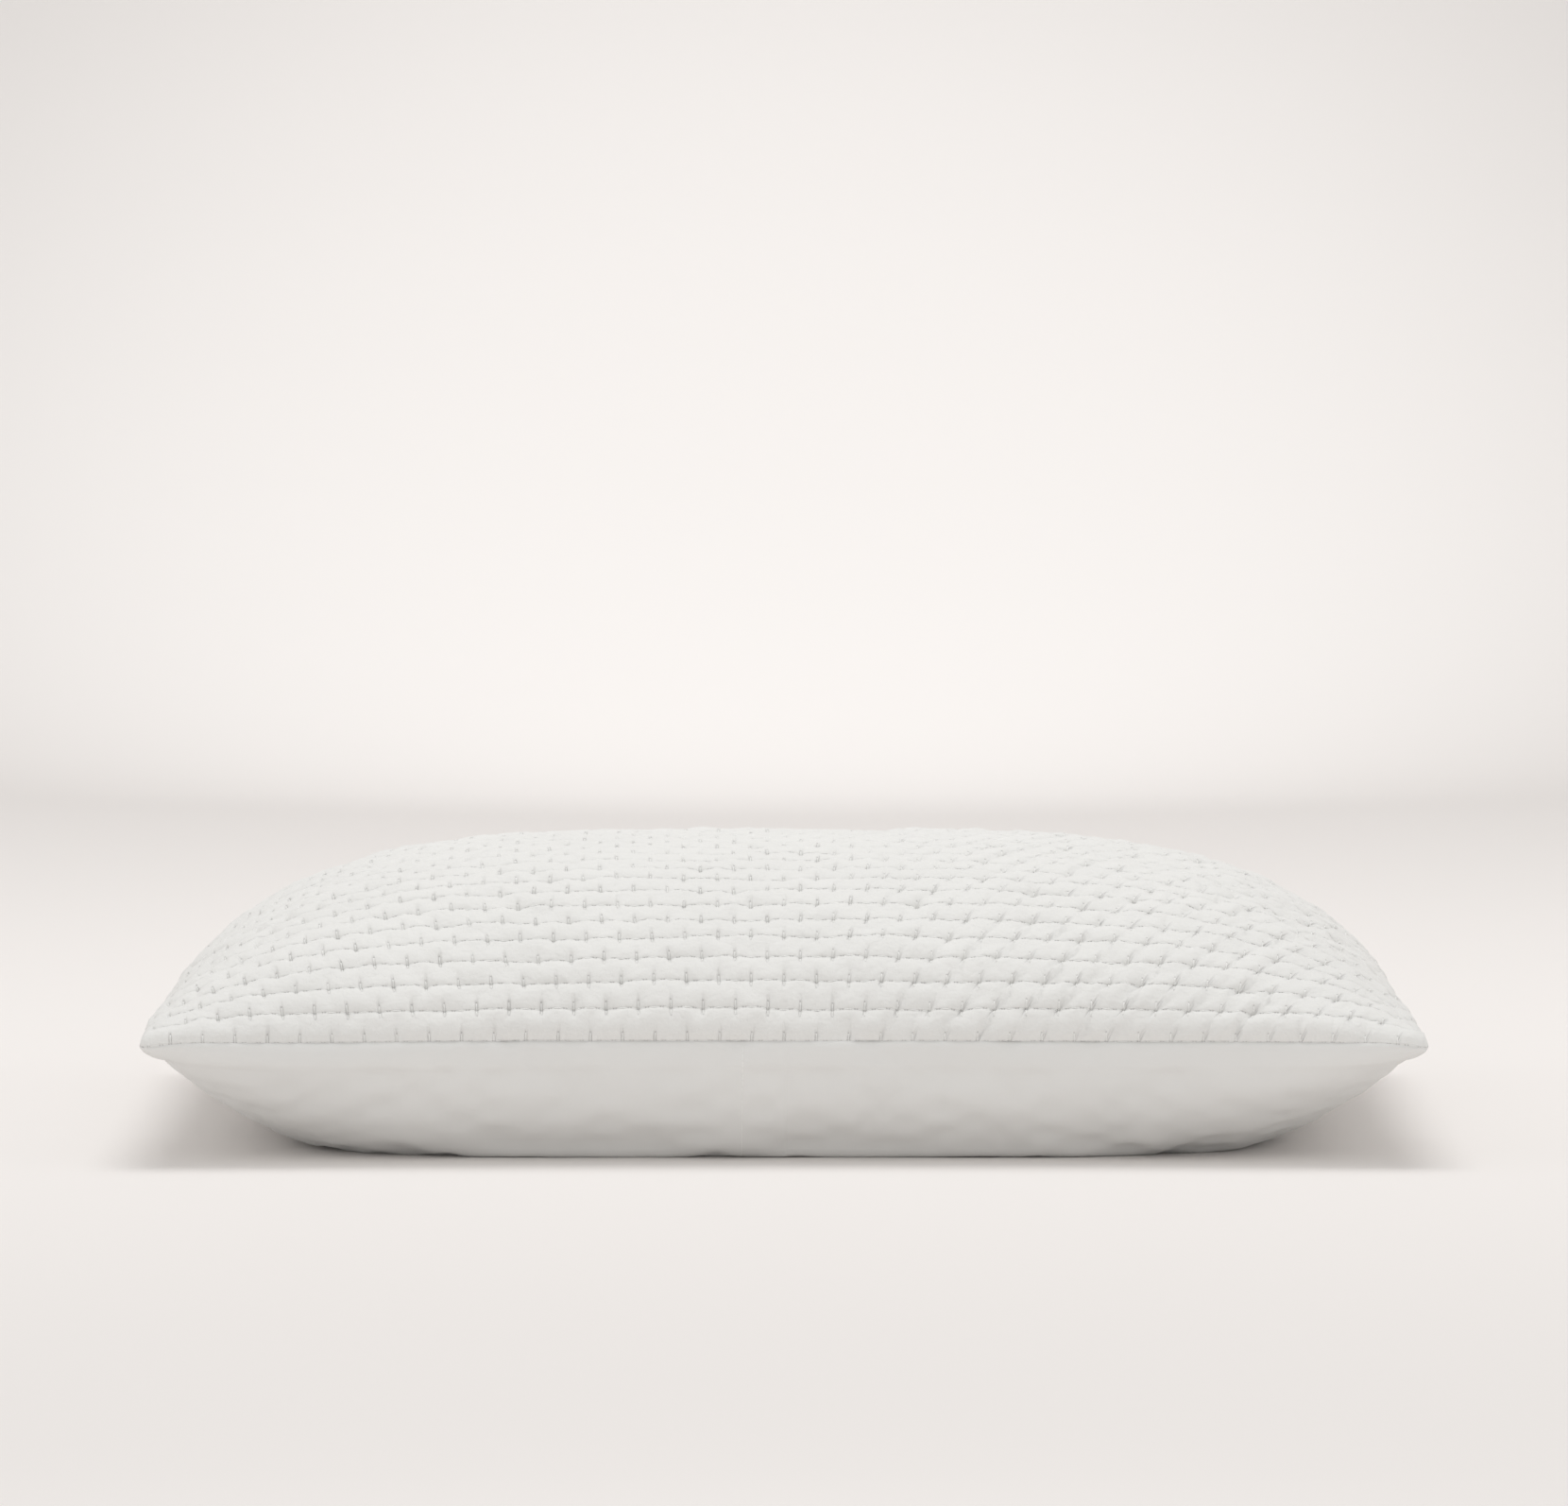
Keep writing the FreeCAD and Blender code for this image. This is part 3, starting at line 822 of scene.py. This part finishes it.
def make_row_stitches(surface):
    """Along each row, a long stitch halfway between crosses and a short one each side of a cross."""
    s, t = cross_places()
    inner = seam_distance(s, t) > 0.004
    s, t = s[inner], t[inner]
    long_stitch, short_stitch = 0.0028, 0.0014
    parts = [stitches_on(surface, s + TICK_PITCH / 2, t, long_stitch, 0, 0.00035)]
    for side in (-CROSS_REACH, CROSS_REACH):
        parts.append(stitches_on(surface, s + side, t, short_stitch, 0, 0.00012))
    make_quilting_threads("quilting_row_stitches", parts, ["quilting_thread_rows"])


def make_cross_stitches(surface):
    """The stitches that stand across the row at each cross, one above it and one below."""
    s, t = cross_places()
    standing_stitch = 0.0016
    parts = []
    for side in (-CROSS_REACH, CROSS_REACH):
        inside = np.abs(t + side) < HALF_WIDTH
        parts.append(stitches_on(surface, s[inside], (t + side)[inside], 0, standing_stitch, 0.00030))
    make_quilting_threads("quilting_cross_stitches", parts)


def shell_faces(shape):
    """Faces of a closed thin slab made of two grids, the second one under the first."""
    over = np.arange(shape[0] * shape[1]).reshape(shape)
    under = over + over.size
    rim = np.concatenate([over[:, 0], over[-1, 1:], over[-2::-1, -1], over[0, -2:0:-1]])
    rim_under = rim + over.size
    after = np.roll(rim, -1)
    after_under = np.roll(rim_under, -1)
    walls = np.stack([rim, rim_under, after_under, after], -1)
    return np.concatenate([grid_faces(over, False), grid_faces(under, True), walls])


def make_slab(name, s, t, over, under, outward, slot, nodes):
    """A closed thin piece of cloth or batting between two grids."""
    flat = np.stack(flat_grid(s, t), -1).reshape(-1, 2)
    faces = shell_faces(over.shape[:2])
    if outward < 0:
        faces = faces[:, ::-1]
    points = np.concatenate([over.reshape(-1, 3), under.reshape(-1, 3)])
    return make_piece(name, points, faces, slot, nodes, np.concatenate([flat, flat]))


def make_quilt_inside():
    """The batting, puffed between the rows, and the lining behind it."""
    s = fine_steps(TICK_PITCH, TICKS, (0, 0.5), -HALF_LENGTH)
    t = fine_steps(ROW_PITCH, BANDS, (0, 0.2, 0.5, 0.8), -HALF_WIDTH)
    flat_s, flat_t = flat_grid(s, t)
    base = panel_points(flat_s, flat_t, 1)
    normals = grid_normals(base, 1)
    loft = smoothstep(0, 0.004, seam_distance(flat_s, flat_t))[..., None]
    puff = np.sin(math.pi * np.mod(pattern_places(flat_s, flat_t)[1], 1)) ** 0.5
    # Deep enough to stay under the face's creases, but for a few places near the corner tips.
    over = base - normals * loft * (BATTING_FRONT - BATTING_PUFF * puff[..., None])
    under = base - normals * loft * BATTING_BACK
    behind = under - normals * LINING_GAP
    inner = behind - normals * LINING
    nodes = ["quilt_batting"]
    batting = make_slab("batting_layer", s, t, over, under, 1, "quilt_batting", nodes)
    lining = make_slab("lining_layer", s, t, behind, inner, 1, "lining_voile", ["quilt_lining"])


def back_surface(s, t, lift):
    """A back panel between its edges; lift gives the step of its lap over s."""
    flat_s, flat_t = flat_grid(s, t)
    base = panel_points(flat_s, flat_t, -1)
    free = smoothstep(0, 0.006, seam_distance(flat_s, flat_t))
    relief = back_relief(flat_s, flat_t) + lift(flat_s) * free
    points = base + grid_normals(base, -1) * relief[..., None]
    points[..., 2] = np.maximum(points[..., 2], 0.0)
    return Surface(s, t, points, -1)


def outer_lift(s):
    """The outer lap thins out over its folded hem edge."""
    return -0.0003 * smoothstep(HEM_EDGE - 0.0016, HEM_EDGE, s)


def under_lift(s):
    """The under lap lies inside the outer one as far as the hem edge."""
    return -0.0002 - 0.0010 * (1 - smoothstep(HEM_EDGE - 0.012, HEM_EDGE - 0.002, s))


def make_back_laps():
    """The two plain panels of the back."""
    end, side = HALF_LENGTH, HALF_WIDTH
    fine = np.linspace(0, 0.016, 12)  # steps beside a seam
    even = 0.020  # where the even steps start
    t = np.concatenate([fine - side, np.linspace(even - side, side - even, 150), side - fine[::-1]])
    outer_even = np.linspace(even - end, HEM_EDGE - 0.004, 120)
    outer_hem = np.linspace(HEM_EDGE - 0.002, HEM_EDGE, 5)
    outer_s = np.concatenate([fine - end, outer_even, outer_hem])
    under_lap = np.linspace(UNDER_EDGE, HEM_EDGE - 0.014, 36)
    under_hem = np.linspace(HEM_EDGE - 0.012, HEM_EDGE, 8)
    under_even = np.linspace(HEM_EDGE + 0.003, end - even, 120)
    under_s = np.concatenate([under_lap, under_hem, under_even, end - fine[::-1]])
    outer = back_surface(outer_s, t, outer_lift)
    under = back_surface(under_s, t, under_lift)
    for name, surface, node in (
        ("back_outer_lap", outer, "back_panel_outer_lap"),
        ("back_under_lap", under, "back_panel_under_lap"),
    ):
        s = surface.s
        inner = surface.points - surface.normals * CLOTH
        piece = make_slab(name, s, t, surface.points, inner, -1, "plain_percale", [node])
    make_hem_stitches("outer_hem_stitches", outer, HEM_EDGE - HEM_WIDTH, "outer_lap_hem_thread")
    make_hem_stitches("under_hem_stitches", under, UNDER_EDGE + HEM_WIDTH, "under_lap_hem_thread")


def make_hem_stitches(name, surface, at, node):
    """One straight line of lockstitches across a hem, pressed into the cloth."""
    from_side, sunk = 0.004, -0.00008
    t = np.arange(-HALF_WIDTH + from_side, HALF_WIDTH - from_side, STITCH_PITCH)
    paths, normals = stitches_on(surface, np.full_like(t, at), t, 0, HEM_STITCH, sunk)
    paths[..., 2] = np.maximum(paths[..., 2], HEM_THREAD)
    make_threads(name, paths, normals, HEM_THREAD, nodes=[node])


def edge_loop(count):
    """Flat coordinates of even points round the outline of the cut."""
    corners = np.array([(-1, -1), (1, -1), (1, 1), (-1, 1), (-1, -1)], float)
    corners *= (HALF_LENGTH, HALF_WIDTH)
    run = np.append(0, np.cumsum(np.abs(np.diff(corners, axis=0)).sum(axis=1)))
    places = np.linspace(0, run[-1], count, endpoint=False)
    return np.interp(places, run, corners[:, 0]), np.interp(places, run, corners[:, 1])


def inside_edge(s, t, inset):
    """The same flat places moved in from the outline."""
    far_s, far_t = HALF_LENGTH - inset, HALF_WIDTH - inset
    return np.clip(s, -far_s, far_s), np.clip(t, -far_t, far_t)


def loop_axes(points):
    """The heading along a closed loop of points, and the level direction out of it."""
    heading = np.roll(points, -1, axis=0) - np.roll(points, 1, axis=0)
    heading /= np.linalg.norm(heading, axis=1, keepdims=True)
    return heading, np.cross(heading, UP)


def loop_stitches(points, shift, half_length):
    """Paths of stitches along a closed loop, moved out of it by a shift."""
    heading, outward = loop_axes(points)
    return (points + shift * outward)[:, None] + heading[:, None] * (half_length * STITCH)[:, None]


def allowance_points(s, t, inset):
    """Where the folded allowance lies: inside the seam, close over the back panel."""
    flat = inside_edge(s, t, inset)
    return panel_points(*flat, -1) * 0.85 + panel_points(*flat, 1) * 0.15


def make_seam(face):
    """The lockstitch in the sham's seam, the allowance folded inside and its overlocking."""
    on_seam, drawn_in = 0.0002, 0.0015
    points, normals = face.read(*inside_edge(*edge_loop(740), on_seam))
    paths = loop_stitches(points, -drawn_in, SEAM_STITCH)
    node = "perimeter_seam_thread"
    make_threads("perimeter_seam_stitches", paths, normals[:, None], SEAM_THREAD, nodes=[node])
    s, t = edge_loop(932)
    insets = np.array([0.0005, 0.004, 0.008, 0.0112])
    strip = np.stack([allowance_points(s, t, inset) for inset in insets], 1)
    strip = np.concatenate([strip, strip[:1]])
    run = np.linspace(0, 2 * (FLAT_LENGTH + FLAT_WIDTH), len(strip))
    under = strip - 0.0005 * UP
    make_slab("seam_allowance", run, insets, strip, under, 1, "plain_percale", [])
    make_overlocking(s, t)


def make_overlocking(s, t):
    """Thread that turns round the cut edge of the allowance, once for each place of the loop."""
    middle, half_width, half_height = 0.0096, 0.0018, 0.0007
    turn = np.linspace(0, 2 * math.pi, 7)
    loops = []
    for angle in turn:
        points = allowance_points(s, t, middle - half_width * math.cos(angle))
        loops.append(points + half_height * math.sin(angle) * UP)
    paths = np.stack(loops, 1)
    heading = np.roll(paths, -1, axis=0) - paths
    paths = paths + heading * (turn / (2 * math.pi))[:, None]
    nodes = ["seam_overlock_thread"]
    make_threads("seam_overlocking", paths, UP, OVERLOCK_THREAD, "overlock_thread", nodes)


def make_label(name, s, t, points, node):
    """A blank folded tape, its lower layer just under its upper one."""
    under = points - grid_normals(points, 1) * CLOTH
    piece = make_slab(name, s, t, points, under, 1, "label_tape", [node])


def make_sham_label():
    """The sham's label lies on the back panel, its end at the allowance of the rear seam."""
    low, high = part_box("sham_care_label")
    s = np.linspace(low.x, high.x, 13) * HALF_LENGTH / TIP_X
    t = np.linspace(HALF_WIDTH - 0.046, HALF_WIDTH - 0.010, 15)
    flat_s, flat_t = flat_grid(s, t)
    base = panel_points(flat_s, flat_t, -1)
    curl = 0.0014 + 0.0006 * np.sin((flat_s - s[0]) * 90)
    points = base - grid_normals(base, -1) * curl[..., None]
    make_label("sham_label", s, t, points, "sham_care_label")


# ------------ the insert


def insert_panels(s, t, gaps):
    """The insert's two panels: inside the sham, and drawn together at their own seam."""
    rounded_s, rounded_t = round_corners(s, t, INSERT_CORNER)
    shrunk_s = rounded_s * (1 - INSERT_INSET / HALF_LENGTH)
    shrunk_t = rounded_t * (1 - INSERT_INSET / HALF_WIDTH)
    upper = panel_points(shrunk_s, shrunk_t, 1)
    lower = panel_points(shrunk_s, shrunk_t, -1)
    middle = (upper + lower) / 2
    half = (upper - lower) / 2
    near_end = (np.abs(s) / HALF_LENGTH) ** 10
    near_side = (np.abs(t) / HALF_WIDTH) ** 10
    closing = np.sqrt(np.maximum(0, 1 - near_end) * np.maximum(0, 1 - near_side))[..., None]
    depth = np.maximum(np.linalg.norm(half, axis=-1, keepdims=True), 1e-6)
    top = middle + half * np.maximum(0, 1 - gaps[0] / depth) * closing
    bottom = middle - half * np.maximum(0, 1 - gaps[1] / depth) * closing
    level = middle[..., 2] - SEAM_Z
    for panel in (top, bottom):
        panel[..., 0] -= np.sign(s) * INSERT_DRAW * near_end
        panel[..., 1] -= np.sign(t) * INSERT_DRAW * near_side
        panel[..., 2] -= level * (1 - closing[..., 0])
    return top, bottom


def make_insert():
    """Ticking, piping, stitches, label and fibre."""
    s = np.linspace(-HALF_LENGTH, HALF_LENGTH, INSERT_GRID[0])
    t = np.linspace(-HALF_WIDTH, HALF_WIDTH, INSERT_GRID[1])
    flat_s, flat_t = flat_grid(s, t)
    free = smoothstep(0, 0.05, seam_distance(flat_s, flat_t))
    top, bottom = insert_panels(flat_s, flat_t, INSERT_GAPS)
    ripple = 0.0006 * noise(flat_s, flat_t, 0.03, 0.04, 71) * free
    top = top + grid_normals(top, 1) * ripple[..., None]
    for name, grid, outward, node in (
        ("insert_top", top, 1, "ticking_top"),
        ("insert_bottom", bottom, -1, "ticking_bottom"),
    ):
        inner = grid - grid_normals(grid, outward) * CLOTH
        piece = make_slab(name, s, t, grid, inner, outward, "ticking_cotton", [node])
    make_insert_edge()
    make_insert_label()
    make_closing_stitches(Surface(s, t, top, 1))

    top, bottom = insert_panels(flat_s, flat_t, FIBRE_GAPS)
    fluff = 0.0009 * noise(flat_s, flat_t, 0.012, 0.012, 72) * free - 0.0008 * free
    top = top + grid_normals(top, 1) * fluff[..., None]
    nodes = ["fibre_fill"]
    filling = make_slab("fibre_filling", s, t, top, bottom, 1, "polyester_fibre", nodes)


def make_insert_edge():
    """The piping round the insert and the stitches that hold it."""
    points = insert_panels(*edge_loop(560), INSERT_GAPS)[0]
    outward = loop_axes(points)[1]
    sides = 10
    out, inside = 0.0018, 0.0008
    turn = 2 * math.pi * np.arange(sides)[:, None] / sides
    ring = outward[:, None] * np.cos(turn) + UP * np.sin(turn)
    tube = (points + outward * out)[:, None] + PIPING_RADIUS * ring
    ids = np.arange(tube.shape[0] * sides).reshape(-1, sides)
    after = np.roll(ids, -1, axis=0)
    faces = np.stack([ids, after, np.roll(after, -1, axis=1), np.roll(ids, -1, axis=1)], -1)
    nodes = ["insert_piping_cord"]
    make_piece("insert_piping", tube, faces.reshape(-1, 4), "piping_cotton", nodes)
    paths = loop_stitches(points, -inside, 0.0014)
    nodes = ["insert_seam_thread"]
    make_threads("insert_seam_stitches", paths, outward[:, None], INSERT_THREAD, nodes=nodes)


def make_insert_label():
    """The insert's label lies against the underside of the insert, near its end."""
    low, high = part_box("insert_care_label")
    shrink = (HALF_LENGTH - INSERT_INSET) / (TIP_X - INSERT_INSET)
    s = np.linspace(low.x, high.x, 15) * shrink
    t = np.linspace(low.y, high.y, 13)
    base = panel_points(*flat_grid(s, t), -1)
    above_back = 0.0022
    points = base - grid_normals(base, -1) * above_back
    make_label("insert_label", s, t, points, "insert_care_label")


def make_closing_stitches(surface):
    """The machine stitches that close the insert's end once it is filled."""
    low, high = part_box("insert_closing_thread")
    from_end, height = 0.008, 0.0002
    t = np.arange(low.y, high.y, STITCH_PITCH)
    s = np.full_like(t, HALF_LENGTH - from_end)
    paths, normals = stitches_on(surface, s, t, 0, HEM_STITCH, height)
    nodes = ["insert_closing_thread"]
    make_threads("insert_closing_stitches", paths, normals, INSERT_THREAD, nodes=nodes)


# ------------ studio


def make_stage():
    """A pale floor that curves up into a backdrop far behind."""
    width, depth_front, depth_back, bend, height = 8.0, 6.5, 2.6, 1.6, 5.0
    profile = [(-depth_front, 0.0), (depth_back, 0.0)]
    bend_steps = 12
    for step in range(1, bend_steps + 1):
        angle = step / bend_steps * math.pi / 2
        profile.append((depth_back + bend * math.sin(angle), bend * (1 - math.cos(angle))))
    profile.append((depth_back + bend, height))
    points = [(x, y, z) for y, z in profile for x in (-width, width)]
    faces = [(2 * i, 2 * i + 1, 2 * i + 3, 2 * i + 2) for i in range(len(profile) - 1)]
    mesh = new_mesh("studio_floor", points, faces)
    mesh.polygons.foreach_set("use_smooth", [True] * len(mesh.polygons))
    floor = add_object("studio_floor", mesh)
    paper = Graph("studio_paper")
    surface = {"Base Color": (0.865, 0.833, 0.812, 1), "Roughness": 0.9, "Specular IOR Level": 0.1}
    paper.put(paper.shader.inputs, surface)
    floor.data.materials.append(paper.material)


def add_light(name, place, size, watts, target=(0, 0, 0), colour=(1, 1, 1)):
    light = bpy.data.lights.new(name, "AREA")
    light.shape = "DISK"
    light.size = size
    light.energy = watts
    light.color = colour
    lamp = add_object(name, light)
    lamp.location = place
    x, y, z = np.array(target) - np.array(place)
    lamp.rotation_euler = (math.atan2(math.hypot(x, y), -z), 0, math.atan2(-x, y))
    return lamp


def make_light():
    """Soft light from above and both sides, a low fill in front, and a lit backdrop."""
    world = bpy.data.worlds.new("studio_air")
    bpy.context.scene.world = world
    world.use_nodes = True
    background = world.node_tree.nodes["Background"]
    background.inputs["Color"].default_value = (1.0, 0.995, 0.985, 1)
    background.inputs["Strength"].default_value = 0.66
    cool, far_floor = (0.96, 0.985, 1.0), (0, 3.55, 0.05)
    add_light("top_softbox", (0, 0.4, 2.6), size=1.8, watts=27)
    add_light("left_softbox", (-2.2, -0.4, 0.9), size=1.2, watts=3)
    add_light("right_softbox", (2.2, -0.4, 0.9), size=1.2, watts=3)
    low_fill = add_light("low_fill", (0, -2.2, 0.30), size=0.55, watts=2.6)
    low_fill.visible_camera = False
    add_light("backdrop_softbox", (0, 2.0, 2.4), 2.0, 6, (0, 4.0, 0.1), (0.97, 0.985, 1.0))
    glow = add_light("backdrop_glow", (0, 1.2, 1.9), 0.5, 84, far_floor, cool)
    glow.data.type = "SPOT"
    glow.data.spot_size = math.radians(46)
    glow.data.spot_blend = 1.0


def make_camera():
    """A long lens at the height of a low tabletop view, aimed so that the pillow sits below centre."""
    distance, elevation, tilt = 5.0, math.radians(5.0), math.radians(3.527)  # estimates
    camera = bpy.data.cameras.new("camera")
    camera.sensor_width = 36
    camera.lens = 220.3
    camera.clip_end = 50
    holder = add_object("camera", camera)
    holder.location = (0, -distance * math.cos(elevation), SEAM_Z + distance * math.sin(elevation))
    holder.rotation_euler = (math.pi / 2 - tilt, 0, 0)
    bpy.context.scene.camera = holder
    bpy.context.scene.view_settings.view_transform = "Standard"


# ------------ putting it together

face_surface = quilt_surface()
make_quilt_face(face_surface)
make_row_stitches(face_surface)
make_cross_stitches(face_surface)
make_quilt_inside()
make_back_laps()
make_seam(face_surface)
make_sham_label()
make_insert()
make_stage()
make_light()
make_camera()
